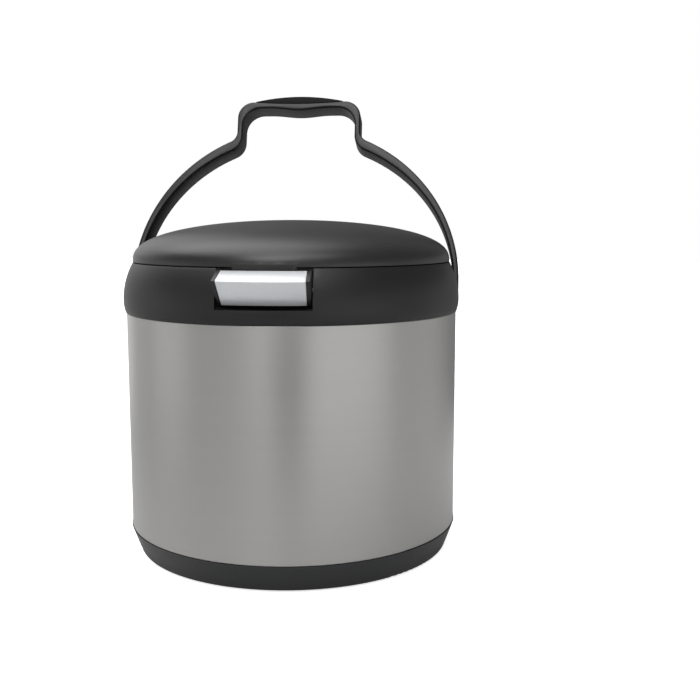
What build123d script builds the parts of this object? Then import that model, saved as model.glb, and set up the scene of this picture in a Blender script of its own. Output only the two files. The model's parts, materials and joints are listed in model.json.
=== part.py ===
# Vacuum-insulated thermal cooker: a steel vacuum vessel between a base cover and a collar,
# with a hinged domed lid, a push latch, a swinging bail handle and a lidded inner pot.
# Millimetres. +Z is up, the latch faces -Y, the hinge is at +Y.
# The origin is on the vessel's axis, on the underside of the base pad.

from build123d import *
from math import cos, radians, sin, sqrt
import os

os.makedirs("parts", exist_ok=True)

# Driving sizes
shell_radius = 130.0
band_bottom = 21.5
band_height = 167.9
collar_height = 38.0
lid_rise = 31.7
pot_side_gap = 5.5

# Gaps
face_gap = 0.3
fit_gap = 0.15
pin_gap = 0.06
overrun = 40.0

# The turned surfaces' seams are kept clear of the fittings
seam_turn = 45.0
half_turn = 180.0

# Heights shared by the vessel, collar and lid
collar_land_drop = 3.0
mouth_ring_thickness = 3.4
band_top = band_bottom + band_height
collar_foot = band_top
collar_top = collar_foot + collar_height
cover_seat = collar_top - collar_land_drop

# Steel vessel
sheet = 0.6
joggle = 2.4
joggle_round = 0.8
shell_end_drop = 11.5
shoulder_start_rise = 2.8
shoulder_rise = 11.0
shoulder_depth = 12.1
shoulder_round = 4.0
bottom_dish_rise = 3.4
bottom_dish_rim = 5.0
liner_gap = 3.0
liner_floor_rise = 5.5
liner_corner = 15.0
hem_rise = 1.5
hem_drop = 3.5
hem_round = 1.2
getter_radius = 11.0
getter_height = 3.6
seal_cap_radius = 9.0
seal_cap_height = 2.0
evacuation_hole_radius = 3.0
joggled_radius = shell_radius - joggle
shell_end = band_bottom - shell_end_drop
shoulder_start = band_top + shoulder_start_rise
neck_start = shoulder_start + shoulder_rise
neck_radius = joggled_radius - shoulder_depth
bottom_dish_height = shell_end + bottom_dish_rise
liner_radius = neck_radius - liner_gap
liner_floor = band_bottom + liner_floor_rise
hem_top = cover_seat - mouth_ring_thickness
neck_top = hem_top - hem_rise
hem_radius = neck_radius + sheet + face_gap

# Base pad and base cover
base_overhang = 0.6
base_draft = 7.4
base_foot_round = 2.5
base_wall = 2.6
base_floor = 3.4
pad_margin = 19.2
pad_height = 3.0
pad_seat = 1.5
pad_groove_count = 3
pad_groove_pitch = 14.0
pad_groove_width = 3.0
pad_groove_depth = 0.8
base_rim_radius = shell_radius + base_overhang
base_foot_radius = base_rim_radius - base_draft
base_bottom = pad_height - pad_seat
base_slope = base_draft / (band_bottom - base_bottom)
pad_radius = base_foot_radius - pad_margin

# Base fixing
base_screw_count = 3
base_screw_turn = 30.0
base_screw_inset = 32.0
base_screw_radius = 1.5
base_screw_head_radius = 3.2
base_screw_head_height = 2.0
standoff_radius = 4.5
standoff_height = 4.6
standoff_floor = 0.8
base_boss_radius = 7.0
base_screw_pitch_radius = pad_radius - base_screw_inset

# Collar
collar_foot_overhang = 0.6
collar_overhang = 2.2
collar_wide_rise = 9.1
collar_taper = 7.6
collar_skin = 2.8
collar_inner_gap = 1.1
collar_inner_wall = 2.5
collar_rim_wall = 3.0
collar_ceiling_drop = 8.9
shoulder_gap = 0.5
mouth_ring_reach = 2.8
mouth_ring_bevel = 0.8
collar_foot_radius = shell_radius + collar_foot_overhang
collar_wide_radius = shell_radius + collar_overhang
collar_wide_height = collar_foot + collar_wide_rise
collar_rim_radius = collar_wide_radius - collar_taper
collar_inner_radius = neck_radius + collar_inner_gap
collar_land_radius = collar_rim_radius - collar_rim_wall
collar_ceiling = collar_top - collar_ceiling_drop
mouth_radius = liner_radius + face_gap
mouth_ring_radius = neck_radius + mouth_ring_reach

# Lid
lid_gap = 0.9
lid_inset = 0.1
lid_wall = 3.0
lid_round_share = 0.97
lid_crown_share = 0.814
lid_curve_steps = 10
tab_half_width = 22.0
tab_drop = 2.0
tab_thickness = 1.4
pan_land_gap = 0.8
pan_flange_lift = 0.6
pan_flange_thickness = 2.4
pan_wall = 2.0
plug_gap = 3.5
plug_depth = 8.5
plug_round = 3.0
recess_radius = 46.0
recess_slope = 7.0
recess_depth = 13.0
recess_round = 4.0
lid_screw_count = 6
lid_screw_inset = 9.5
lid_screw_radius = 1.4
lid_screw_head_radius = 3.0
lid_screw_head_height = 1.3
lid_screw_length = 8.0
pillar_radius = 3.9
seal_lift = 0.9
seal_height = 4.2
seal_bead = 1.4
seal_lip_thickness = 0.9
foam_gap = 0.5
foam_pillar_gap = 1.1
lid_bottom = collar_top + lid_gap
lid_radius = collar_rim_radius - lid_inset
lid_top = lid_bottom + lid_rise
pan_flange_radius = collar_land_radius - pan_land_gap
pan_flange_bottom = cover_seat + pan_flange_lift
pan_flange_top = pan_flange_bottom + pan_flange_thickness
plug_radius = liner_radius - plug_gap
plug_bottom = pan_flange_bottom - plug_depth
recess_top = plug_bottom + recess_depth
lid_screw_pitch_radius = lid_radius - lid_screw_inset
seal_lip_radius = liner_radius - face_gap
seal_bottom = plug_bottom + seal_lift
foam_radius = lid_screw_pitch_radius - pillar_radius - foam_pillar_gap

# Hinge
hinge_reach = 7.0
hinge_drop = 1.8
hinge_radius = 5.5
hinge_pin_radius = 2.0
ear_inner = 23.0
ear_width = 9.0
hinge_side_gap = 0.4
ear_root_depth = 12.5
ear_root_drop = 13.6
knuckle_root_depth = 14.5
hinge_y = lid_radius + hinge_reach
hinge_height = collar_top - hinge_drop
ear_outer = ear_inner + ear_width
ear_root_y = hinge_y - ear_root_depth
ear_root_height = hinge_height - ear_root_drop
knuckle_root_y = hinge_y - knuckle_root_depth

# Latch
pocket_half_width = 33.6
pocket_foot_gap = 3.0
pocket_back_wall = 1.4
pocket_ledge = 3.8
pocket_wall = 4.0
latch_pin_lead = 4.3
latch_pin_rise = 13.4
latch_pin_radius = 1.5
latch_boss_radius = 2.8
button_gap = 1.4
button_height = 23.4
button_top_proud = 3.7
button_crease_drop = 6.4
button_crease_reach = 13.2
button_foot_tuck = 0.2
button_top_half_width = 29.4
button_crease_half_width = 30.4
button_foot_half_width = 29.2
button_thickness = 1.6
button_proud = 0.5
lever_cheek = 2.9
lever_back_lead = 0.9
lever_back_relief = 1.0
lever_back_bend_drop = 3.0
lever_head_thickness = 2.9
lever_head_drop = 5.5
lever_wall = 1.4
lever_hollow_foot = 2.0
lever_hollow_head = 4.0
lever_rib = 9.0
hook_half_width = 7.0
hook_thickness = 2.0
hook_lead = 1.2
hook_rise = 5.0
hook_nose_height = 1.9
hook_nose_reach = 2.0
hook_slot_side_gap = 2.0
hook_slot_wall = 0.9
hook_slot_headroom = 1.0
catch_thickness = 1.4
catch_half_width = 12.0
catch_inset = 8.7
catch_screw_spacing = 16.0
catch_screw_lead = 3.1
catch_screw_radius = 1.1
catch_screw_head_radius = 2.0
catch_screw_head_height = 1.0
spring_inner_radius = 1.8
spring_outer_radius = 2.7
spring_start = 10.5
spring_length = 9.5
spring_wire_radius = 0.4
spring_leg_inset = 1.0
spring_leg = 5.0
pocket_back = collar_inner_radius + pocket_back_wall
pocket_ledge_out = pocket_back + pocket_ledge
button_top = collar_top - button_gap
button_crease = button_top - button_crease_drop
button_foot = button_top - button_height
pocket_floor = button_foot - pocket_foot_gap
pocket_block_bottom = pocket_floor - pocket_wall
pocket_ledge_top = pocket_floor + pocket_ledge
latch_pin_out = pocket_back + latch_pin_lead
latch_pin_height = pocket_floor + latch_pin_rise
button_top_out = collar_rim_radius + button_top_proud
button_crease_out = button_top_out + button_crease_reach
button_foot_out = button_top_out - button_foot_tuck
lever_back = pocket_back + lever_back_lead
lever_back_foot = lever_back + lever_back_relief
lever_back_bend = latch_pin_height - lever_back_bend_drop
lever_head_out = lever_back + lever_head_thickness
lever_head_bottom = button_top - lever_head_drop
lever_hollow_bottom = button_foot + lever_hollow_foot
lever_hollow_top = button_top - lever_hollow_head
hook_out = pocket_back + hook_lead
hook_top = button_top + hook_rise
hook_slot_half_width = hook_half_width + hook_slot_side_gap
hook_slot_out = lid_radius - hook_slot_wall
hook_slot_top = hook_top + hook_slot_headroom
catch_inner_out = hook_out - catch_inset
catch_screw_out = catch_inner_out + catch_screw_lead

# Handle
pivot_y = 11.0
pivot_drop = 17.4
handle_lean = 15.5
handle_fold_back = 78.0
handle_fold_forward = 10.0
bail_side_gap = 3.0
bail_headroom = 78.0
bail_crown_thickness = 8.8
strap_width = 20.0
strap_thickness = 4.5
strap_round = 1.0
grip_half_width = 50.8
grip_rise = 21.5
grip_corner = 13.0
neck_bend = 9.0
pad_end_margin = 0.8
pad_seat_dip = 1.6
pad_crown = 4.2
pad_inset = 0.8
finger_wave_half_length = 20.0
finger_wave_dip = 1.6
pivot_swing_reach = 70.0
pivot_block_front = 25.0
pivot_block_back = 53.0
pivot_block_drop = 13.5
pivot_screw_head_radius = 5.2
pivot_screw_head_height = 1.8
pivot_screw_shoulder_radius = 3.2
pivot_screw_thread_radius = 2.5
pivot_bush_radius = 4.6
pivot_nut_width = 9.0
pivot_nut_thickness = 4.0
pivot_nut_lead = 3.0
pivot_screw_lead = 0.2
pivot_height = collar_top - pivot_drop
pivot_block_bottom = pivot_height - pivot_block_drop
bail_half_width = lid_radius + bail_side_gap + strap_thickness
bail_rise = lid_top - pivot_height + bail_headroom
grip_height = bail_rise + grip_rise
pad_half_length = grip_half_width - grip_corner - pad_end_margin
pivot_nut_from = collar_inner_radius + pivot_nut_lead
pivot_screw_tip = pivot_nut_from - pivot_screw_lead

# Inner pot
pot_sheet = 0.8
pot_headroom = 16.5
pot_rim_drop = 1.9
pot_rim_round = 0.6
pot_corner = 12.0
pot_base_inset = 15.0
pot_base_thickness = 5.0
pot_base_edge = 1.5
pot_ear_half_width = 12.0
pot_ear_drop = 3.0
pot_ear_height = 19.0
pot_ear_thickness = 1.5
pot_ear_rivet_spread = 7.5
pot_rivet_radius = 1.6
pot_rivet_head_radius = 2.6
pot_rivet_head_height = 0.8
bail_wire_radius = 1.4
bail_liner_gap = 0.6
bail_stub_drop = 12.0
bail_front_inset = 14.5
bail_bend = 4.0
pot_lid_skirt_gap = 0.4
pot_lid_skirt_depth = 5.0
pot_lid_channel = 7.8
pot_lid_dome_height = 10.0
pot_lid_sheet = 0.7
knob_foot_radius = 9.0
knob_radius = 18.0
knob_height = 15.0
knob_waist_radius = 7.5
knob_screw_radius = 2.0
knob_screw_head_radius = 4.0
knob_screw_head_height = 1.6
pot_radius = liner_radius - pot_side_gap
pot_floor = liner_floor + pot_base_thickness
pot_rim = plug_bottom - pot_headroom
pot_top = pot_rim + pot_sheet
pot_rim_radius = pot_radius + pot_sheet
pot_base_radius = pot_radius - pot_base_inset
pot_ear_top = pot_rim - pot_ear_drop
pot_ear_bottom = pot_ear_top - pot_ear_height
bail_stub_height = pot_rim - bail_stub_drop
bail_leg_x = liner_radius - bail_wire_radius - bail_liner_gap
bail_depth = bail_leg_x - bail_front_inset
pot_lid_skirt_radius = pot_radius - pot_sheet - pot_lid_skirt_gap
pot_lid_dome_radius = pot_lid_skirt_radius - pot_lid_channel


# Shared shapes
def turned(*edges):
    """A solid turned about the vessel's axis from edges drawn as radius and height."""
    return Rot(Z=seam_turn) * revolve(Plane.XZ * make_face(edges), Axis.Z)


def turned_points(*points):
    """A solid turned about the vessel's axis from corner points."""
    return turned(*Polyline(*points, close=True).edges())


def turned_sheet(points, corner_radii, wall, side):
    """A bent wall of even thickness, turned about the vessel's axis."""
    with BuildPart() as sheet_part:
        with BuildSketch(Plane.XZ):
            with BuildLine():
                FilletPolyline(*points, radius=corner_radii)
                offset(amount=wall, side=side)
            make_face()
        revolve(axis=Axis.Z)
    return Rot(Z=seam_turn) * sheet_part.part


def tube(inner, outer, low, high):
    """A plain ring about the vessel's axis."""
    return turned_points((inner, low), (outer, low), (outer, high), (inner, high))


def block(x_range, y_range, z_range):
    """A box between two values on each axis."""
    centre = [(low + high) / 2 for low, high in (x_range, y_range, z_range)]
    size = [high - low for low, high in (x_range, y_range, z_range)]
    return Pos(*centre) * Box(*size)


def rod_z(x, y, radius, low, high):
    """An upright round rod."""
    return Pos(x, y, (low + high) / 2) * Cylinder(radius, high - low)


def rod_x(y, z, radius, low, high):
    """A round rod along X."""
    return Pos((low + high) / 2, y, z) * Rot(Y=90) * Cylinder(radius, high - low)


def prism_x(points, low, high):
    """A solid drawn as Y and Z points and drawn out along X."""
    face = make_face(Polyline(*points, close=True).edges())
    return extrude(Plane.YZ.offset(low) * face, high - low)


def ring_places(count, radius, start=0.0):
    """Evenly spaced places on a circle about the vessel's axis."""
    angles = [radians(start + turn * 360 / count) for turn in range(count)]
    return [(radius * cos(angle), radius * sin(angle)) for angle in angles]


def shoulder_height(radius, gap=0.0):
    """The height of the vessel's sloping shoulder at a radius, raised square to it by a gap."""
    slope = (neck_start - shoulder_start) / (joggled_radius - neck_radius)
    return shoulder_start + (joggled_radius - radius) * slope + gap * sqrt(1 + slope ** 2)


def collar_radius(height):
    """The collar's outer radius above its widest line."""
    rise = collar_top - collar_wide_height
    drop = collar_wide_radius - collar_rim_radius
    curve = (rise ** 2 + drop ** 2) / (2 * drop)
    return collar_wide_radius - curve + sqrt(curve ** 2 - (height - collar_wide_height) ** 2)


# Base
def make_base_pad():
    pad = rod_z(0, 0, pad_radius, 0, pad_height)
    for step in range(pad_groove_count):
        radius = pad_radius - (step + 1) * pad_groove_pitch
        pad -= tube(radius, radius + pad_groove_width, 0, pad_groove_depth)
    return chamfer(pad.edges().filter_by(GeomType.CIRCLE).sort_by(SortBy.RADIUS)[-2:], fit_gap)


def base_inner_radius(height):
    """The inside radius of the base cover's sloping wall."""
    return base_foot_radius + (height - base_bottom) * base_slope - base_wall


def make_base_cover():
    floor_top = base_bottom + base_floor
    rim_inner = joggled_radius + fit_gap
    outline = FilletPolyline(
        (0, base_bottom), (base_foot_radius, base_bottom), (base_rim_radius, band_bottom - fit_gap),
        (rim_inner, band_bottom - fit_gap), (base_inner_radius(floor_top), floor_top), (0, floor_top),
        radius=[base_foot_round, fit_gap, fit_gap, base_foot_round])
    cover = turned(*outline.edges(), Line((0, floor_top), (0, base_bottom)))
    cover -= rod_z(0, 0, pad_radius + fit_gap, base_bottom - overrun, pad_height)
    boss_top = bottom_dish_height - sheet - standoff_height
    for x, y in ring_places(base_screw_count, base_screw_pitch_radius, base_screw_turn):
        cover += rod_z(x, y, base_boss_radius, floor_top, boss_top)
        cover -= rod_z(x, y, base_screw_radius + fit_gap, pad_height, boss_top)
        head_seat = pad_height + base_screw_head_height + face_gap
        cover -= rod_z(x, y, base_screw_head_radius + fit_gap, pad_height, head_seat)
    return cover


def make_base_screws():
    head_low = pad_height + face_gap
    head_high = head_low + base_screw_head_height
    tip = bottom_dish_height - sheet - standoff_floor - face_gap
    screws = []
    for x, y in ring_places(base_screw_count, base_screw_pitch_radius, base_screw_turn):
        screw = rod_z(x, y, base_screw_head_radius, head_low, head_high)
        screw += rod_z(x, y, base_screw_radius - pin_gap, head_high, tip)
        screw -= Pos(x, y, head_low) * Box(base_screw_head_radius, sheet, base_screw_head_height)
        screws.append(screw)
    return Compound(children=screws)


def make_base_standoffs():
    top = bottom_dish_height - sheet
    standoffs = []
    for x, y in ring_places(base_screw_count, base_screw_pitch_radius, base_screw_turn):
        standoff = rod_z(x, y, standoff_radius, top - standoff_height, top)
        standoff -= rod_z(x, y, base_screw_radius, top - standoff_height, top - standoff_floor)
        standoffs.append(standoff)
    return Compound(children=standoffs)


# Vacuum vessel
def make_outer_shell():
    foot_radius = joggled_radius - (band_bottom - shell_end) * base_slope
    points = [
        (foot_radius, shell_end), (joggled_radius, band_bottom), (shell_radius, band_bottom),
        (shell_radius, band_top), (joggled_radius, band_top), (joggled_radius, shoulder_start),
        (neck_radius, neck_start), (neck_radius, neck_top)]
    rounds = [joggle_round] * 4 + [joggle_round, shoulder_round]
    return turned_sheet(points, rounds, sheet, Side.LEFT)


def shell_inner_foot(height):
    """The inside radius of the shell's sloping foot."""
    return joggled_radius - (band_bottom - height) * base_slope - sheet * sqrt(1 + base_slope ** 2)


def make_outer_bottom():
    rim = shell_inner_foot(bottom_dish_height - bottom_dish_rim / 2) - fit_gap
    foot = shell_inner_foot(shell_end) - fit_gap
    points = [(0, bottom_dish_height), (rim, bottom_dish_height), (foot, shell_end)]
    dish = turned_sheet(points, [joggle_round], sheet, Side.RIGHT)
    return dish - rod_z(0, 0, evacuation_hole_radius, shell_end, bottom_dish_height)


def make_vacuum_seal_cap():
    top = bottom_dish_height - sheet
    cap = rod_z(0, 0, seal_cap_radius, top - seal_cap_height, top)
    return fillet(cap.faces().sort_by(Axis.Z)[0].edges(), seal_cap_height / 2)


def make_inner_liner():
    points = [
        (0, liner_floor), (liner_radius, liner_floor), (liner_radius, hem_top),
        (hem_radius, hem_top), (hem_radius, hem_top - hem_drop)]
    return turned_sheet(points, [liner_corner, hem_round, hem_round], sheet, Side.RIGHT)


def make_getter():
    top = liner_floor - sheet
    return rod_z(0, 0, getter_radius, top - getter_height, top)


# Collar
def collar_outer_edges():
    """The collar's bulging outside, from its foot to its rim."""
    widest = (collar_wide_radius, collar_wide_height)
    lower = TangentArc(widest, (collar_foot_radius, collar_foot), tangent=(0, -1))
    upper = TangentArc(widest, (collar_rim_radius, collar_top), tangent=(0, 1))
    return [lower, upper]


def make_filled_collar():
    foot_inner = joggled_radius + face_gap
    inner = Polyline(
        (collar_rim_radius, collar_top), (collar_land_radius, collar_top), (collar_land_radius, cover_seat),
        (mouth_ring_radius + fit_gap, cover_seat), (mouth_ring_radius + fit_gap, hem_top),
        (collar_inner_radius, hem_top),
        (collar_inner_radius, shoulder_height(collar_inner_radius, shoulder_gap)),
        (foot_inner, shoulder_height(foot_inner, shoulder_gap)), (foot_inner, collar_foot + joggle_round),
        (foot_inner + joggle_round, collar_foot), (collar_foot_radius, collar_foot))
    return turned(*collar_outer_edges(), *inner.edges())


def make_collar_hollow():
    """The channel inside the collar, open towards the vessel's shoulder."""
    inner = collar_inner_radius + collar_inner_wall
    widest = (collar_wide_radius - collar_skin, collar_wide_height)
    outer_top = (collar_radius(collar_ceiling) - collar_skin, collar_ceiling)
    outer = TangentArc(widest, outer_top, tangent=(0, 1))
    rest = Polyline(
        outer_top, (inner, collar_ceiling), (inner, shoulder_height(inner, -sheet)),
        (widest[0], shoulder_height(widest[0], -sheet)), widest)
    return turned(outer, *rest.edges())


def make_hinge_ears():
    ears = []
    for low, high in ((-ear_outer, -ear_inner), (ear_inner, ear_outer)):
        ear = rod_x(hinge_y, hinge_height, hinge_radius, low, high)
        arm = [
            (ear_root_y, ear_root_height), (hinge_y, hinge_height - hinge_radius),
            (hinge_y, hinge_height), (ear_root_y, hinge_height)]
        ears.append(ear + prism_x(arm, low, high))
    return ears


def swing_region():
    """The space that the handle's two feet sweep, with its inner side on an ellipsoid."""
    half = strap_width / 2 + face_gap + fit_gap
    centre = Pos(0, pivot_y, pivot_height)
    leg = Pos(0, pivot_swing_reach / 2) * Rectangle(2 * half, pivot_swing_reach)
    region = Circle(half) + Rot(Z=handle_fold_back) * leg + Rot(Z=-handle_fold_forward) * leg
    sweep = handle_fold_back + handle_fold_forward
    steps = [handle_fold_forward - sweep * share / 4 for share in range(5)]
    fan = [(pivot_swing_reach * sin(radians(step)), pivot_swing_reach * cos(radians(step))) for step in steps]
    region += make_face(Polyline((0, 0), *fan, close=True).edges())
    # seen along -X, so the local x axis of the drawing points to -Y
    side = Plane(origin=(0, 0, 0), x_dir=(0, -1, 0), z_dir=(-1, 0, 0))
    prism = extrude(centre * (side * region), bail_half_width + overrun, both=True)
    gap = face_gap + fit_gap
    across = bail_half_width - strap_thickness - gap
    rise = bail_rise - bail_crown_thickness - gap
    arc = EllipticalCenterArc((0, 0), across, rise, start_angle=0, arc_size=half_turn)
    half_disc = make_face([arc, Line((-across, 0), (across, 0))])
    core = centre * revolve(half_disc, Axis.X)
    return prism - core


def pivot_places():
    return [(side, pivot_y, pivot_height) for side in (-1, 1)]


def make_collar():
    filled = make_filled_collar()
    collar = filled - make_collar_hollow()
    block_top = collar_ceiling + collar_skin
    far_out = shell_radius + overrun
    pocket_side = pocket_half_width + pocket_wall
    collar += filled & block(
        (-pocket_side, pocket_side), (-far_out, -neck_radius / 2), (pocket_block_bottom, block_top))
    for side in (-1, 1):
        near, far = sorted((side * neck_radius / 2, side * far_out))
        collar += filled & block(
            (near, far), (pivot_y - pivot_block_front, pivot_y + pivot_block_back),
            (pivot_block_bottom, block_top))
    ear_side = ear_outer + pocket_wall
    collar += filled & block(
        (-ear_side, ear_side), (neck_radius / 2, far_out), (ear_root_height - pocket_wall, block_top))
    pocket = [
        (-far_out, pocket_floor), (-pocket_ledge_out, pocket_floor), (-pocket_back, pocket_ledge_top),
        (-pocket_back, collar_top + overrun), (-far_out, collar_top + overrun)]
    collar -= prism_x(pocket, -pocket_half_width, pocket_half_width)
    pin_half = pocket_half_width + pocket_wall - sheet
    collar -= rod_x(-latch_pin_out, latch_pin_height, latch_pin_radius + pin_gap / 2, -pin_half, pin_half)
    for ear in make_hinge_ears():
        collar += ear
    collar -= rod_x(hinge_y, hinge_height, hinge_pin_radius + pin_gap / 2, -ear_outer, ear_outer)
    barrel = hinge_radius + face_gap
    collar -= rod_x(hinge_y, hinge_height, barrel, -ear_inner, ear_inner)
    collar -= swing_region()
    for side, y, z in pivot_places():
        near, far = sorted((side * pivot_screw_tip, side * (bail_half_width + overrun)))
        collar -= rod_x(y, z, pivot_screw_thread_radius + pin_gap, near, far)
        near, far = sorted((side * pivot_nut_from, side * (pivot_nut_from + pivot_nut_thickness + fit_gap)))
        half = pivot_nut_width / 2 + fit_gap
        collar -= block((near, far), (y - half, y + half), (pivot_block_bottom - overrun, z + half))
    return collar


def make_mouth_ring():
    outline = [
        (mouth_radius, hem_top), (mouth_ring_radius, hem_top), (mouth_ring_radius, cover_seat),
        (mouth_radius + mouth_ring_bevel, cover_seat), (mouth_radius, cover_seat - mouth_ring_bevel)]
    return turned_points(*outline)


# Lid
def dome_edges(rim, rise, foot):
    """A flattened dome that starts upright at its rim and ends level at its crown."""
    turns = [step / lid_curve_steps * 90 for step in range(lid_curve_steps + 1)]
    points = []
    for turn in turns:
        out = rim * max(cos(radians(turn)), 0) ** lid_round_share
        up = foot + rise * sin(radians(turn)) ** lid_crown_share
        points.append((out if turn < 90 else 0, up))
    return Spline(*points, tangents=((0, 1), (-1, 0)), tangent_scalars=(1, 1))


def make_dome(rim, rise, foot, floor):
    """The solid under a dome, down to a flat floor."""
    curve = dome_edges(rim, rise, foot)
    sides = [Line((0, foot + rise), (0, floor)), Line((0, floor), (rim, floor))]
    if foot > floor:
        sides.append(Line((rim, floor), (rim, foot)))
    return turned(curve, *sides)


def make_dome_wall():
    """The even wall between the lid's outer and inner domes."""
    rim = lid_radius - lid_wall
    rise = lid_rise - lid_wall
    outer = dome_edges(lid_radius, lid_rise, lid_bottom)
    inner = dome_edges(rim, rise, lid_bottom)
    crown = Line((0, lid_bottom + rise), (0, lid_bottom + lid_rise))
    return turned(outer, inner, crown, Line((rim, lid_bottom), (lid_radius, lid_bottom)))


def lid_screw_places():
    return ring_places(lid_screw_count, lid_screw_pitch_radius)


def make_lid_cover():
    outer = make_dome(lid_radius, lid_rise, lid_bottom, lid_bottom)
    inner = make_dome(lid_radius - lid_wall, lid_rise - lid_wall, lid_bottom, lid_bottom)
    cover = make_dome_wall()
    tab = tube(lid_radius - tab_thickness, lid_radius, lid_bottom - tab_drop, lid_bottom + pan_wall)
    cover += tab & block(
        (-tab_half_width, tab_half_width), (-lid_radius - overrun, 0),
        (lid_bottom - tab_drop, lid_bottom + pan_wall))
    for x, y in lid_screw_places():
        cover += outer & rod_z(x, y, pillar_radius, lid_bottom, lid_bottom + lid_rise)
    for x, y in lid_screw_places():
        cover -= rod_z(x, y, lid_screw_radius, lid_bottom, pan_flange_bottom + lid_screw_length)
    cover += make_pillar_feet()
    cover -= block(
        (-hook_slot_half_width, hook_slot_half_width), (-hook_slot_out, -catch_inner_out),
        (lid_bottom - tab_drop, hook_slot_top))
    low = -ear_inner + hinge_side_gap
    high = ear_inner - hinge_side_gap
    knuckle = rod_x(hinge_y, hinge_height, hinge_radius, low, high)
    arm = [
        (knuckle_root_y, lid_bottom), (hinge_y, lid_bottom), (hinge_y, hinge_height + hinge_radius),
        (knuckle_root_y, hinge_height + 2 * hinge_radius)]
    cover += knuckle + (prism_x(arm, low, high) - inner)
    return cover - rod_x(hinge_y, hinge_height, hinge_pin_radius + pin_gap, low, high)


def make_pillar_feet():
    """The lower ends of the lid's screw pillars, down to the pan's flange."""
    feet = []
    for x, y in lid_screw_places():
        foot = rod_z(x, y, pillar_radius, pan_flange_top, lid_bottom)
        feet.append(foot - rod_z(x, y, lid_screw_radius, pan_flange_top, lid_bottom))
    return feet


def make_lid_pan():
    slope_foot = recess_radius + recess_slope
    points = [
        (0, recess_top), (recess_radius, recess_top), (slope_foot, plug_bottom), (plug_radius, plug_bottom),
        (plug_radius, pan_flange_bottom), (pan_flange_radius, pan_flange_bottom)]
    pan = turned_sheet(points, [recess_round, recess_round, plug_round, sheet], pan_wall, Side.LEFT)
    pan += tube(plug_radius, pan_flange_radius, pan_flange_bottom, pan_flange_top)
    for x, y in lid_screw_places():
        pan -= rod_z(x, y, lid_screw_radius + fit_gap, pan_flange_bottom, pan_flange_top)
        seat = pan_flange_bottom + lid_screw_head_height
        pan -= rod_z(x, y, lid_screw_head_radius + fit_gap, pan_flange_bottom, seat)
    nose_edge = hook_out - hook_nose_reach - face_gap
    pan -= block(
        (-hook_slot_half_width, hook_slot_half_width), (-lid_radius, -nose_edge),
        (pan_flange_bottom, pan_flange_top))
    for x in catch_screw_places():
        pan -= rod_z(x, -catch_screw_out, catch_screw_radius + fit_gap, pan_flange_bottom, pan_flange_top)
        seat = pan_flange_bottom + catch_screw_head_height
        pan -= rod_z(x, -catch_screw_out, catch_screw_head_radius + fit_gap, pan_flange_bottom, seat)
    return pan


def make_lid_screws():
    screws = []
    for x, y in lid_screw_places():
        head_top = pan_flange_bottom + lid_screw_head_height
        screw = rod_z(x, y, lid_screw_head_radius, pan_flange_bottom, head_top)
        tip = pan_flange_bottom + lid_screw_length - face_gap
        screw += rod_z(x, y, lid_screw_radius - pin_gap, head_top, tip)
        screw -= Pos(x, y, pan_flange_bottom) * Box(lid_screw_head_radius, sheet, lid_screw_head_height)
        screws.append(screw)
    return Compound(children=screws)


def make_lid_seal():
    top = seal_bottom + seal_height
    mid = seal_bottom + seal_height / 2
    bead = plug_radius + seal_bead
    return turned_points(
        (plug_radius, seal_bottom), (bead, seal_bottom), (seal_lip_radius, mid - seal_lip_thickness / 2),
        (seal_lip_radius, mid + seal_lip_thickness / 2), (bead, mid + seal_lip_thickness),
        (bead, top), (plug_radius, top))


def make_lid_insulation():
    foam_low = plug_bottom + pan_wall + foam_gap
    ceiling = make_dome(
        lid_radius - lid_wall - foam_gap, lid_rise - lid_wall - foam_gap, lid_bottom, foam_low)
    slope_foot = recess_radius + recess_slope + pan_wall
    recess_lid = recess_top + pan_wall + foam_gap
    bore = turned_points(
        (0, foam_low), (slope_foot + foam_gap, foam_low), (recess_radius + pan_wall + foam_gap, recess_lid),
        (0, recess_lid))
    waist = plug_radius - pan_wall - foam_gap
    flange = pan_flange_top + foam_gap
    foam = ceiling & (
        rod_z(0, 0, waist, foam_low, flange) + rod_z(0, 0, foam_radius, flange, lid_bottom + lid_rise))
    return foam - bore


def catch_screw_places():
    return (-catch_screw_spacing / 2, catch_screw_spacing / 2)


def make_lid_catch():
    nose_edge = hook_out - hook_nose_reach - face_gap
    catch = block(
        (-catch_half_width, catch_half_width), (-nose_edge, -catch_inner_out),
        (pan_flange_top, pan_flange_top + catch_thickness))
    for x in catch_screw_places():
        catch -= rod_z(
            x, -catch_screw_out, catch_screw_radius, pan_flange_top, pan_flange_top + catch_thickness)
    return catch


def make_catch_screws():
    screws = []
    for x in catch_screw_places():
        head_top = pan_flange_bottom + catch_screw_head_height
        screw = rod_z(x, -catch_screw_out, catch_screw_head_radius, pan_flange_bottom, head_top)
        tip = pan_flange_top + catch_thickness
        screws.append(screw + rod_z(x, -catch_screw_out, catch_screw_radius - pin_gap, head_top, tip))
    return Compound(children=screws)


def make_hinge_pin():
    return rod_x(hinge_y, hinge_height, hinge_pin_radius, -ear_outer, ear_outer)


# Latch
def button_points(inset):
    """The button's side shape as radius and height, drawn in by an inset."""
    return [
        (button_top_out - inset, button_top), (button_crease_out - inset, button_crease),
        (button_foot_out - inset, button_foot)]


def button_front(inset):
    """The button's six-sided front outline, drawn out through the pocket."""
    rows = [
        (button_top_half_width, button_top + overrun / 10), (button_crease_half_width, button_crease),
        (button_foot_half_width, button_foot - overrun / 10)]
    right = [(half - inset, height) for half, height in rows]
    left = [(-x, z) for x, z in reversed(right)]
    face = make_face(Polyline(*right, *left, close=True).edges())
    return extrude(Plane.XZ * face, shell_radius + overrun)


def make_latch_button():
    outer = button_points(0)
    inner = [(out, height) for out, height in button_points(button_thickness)]
    plate = turned_points(*outer, *reversed(inner))
    return plate & button_front(0)


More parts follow.
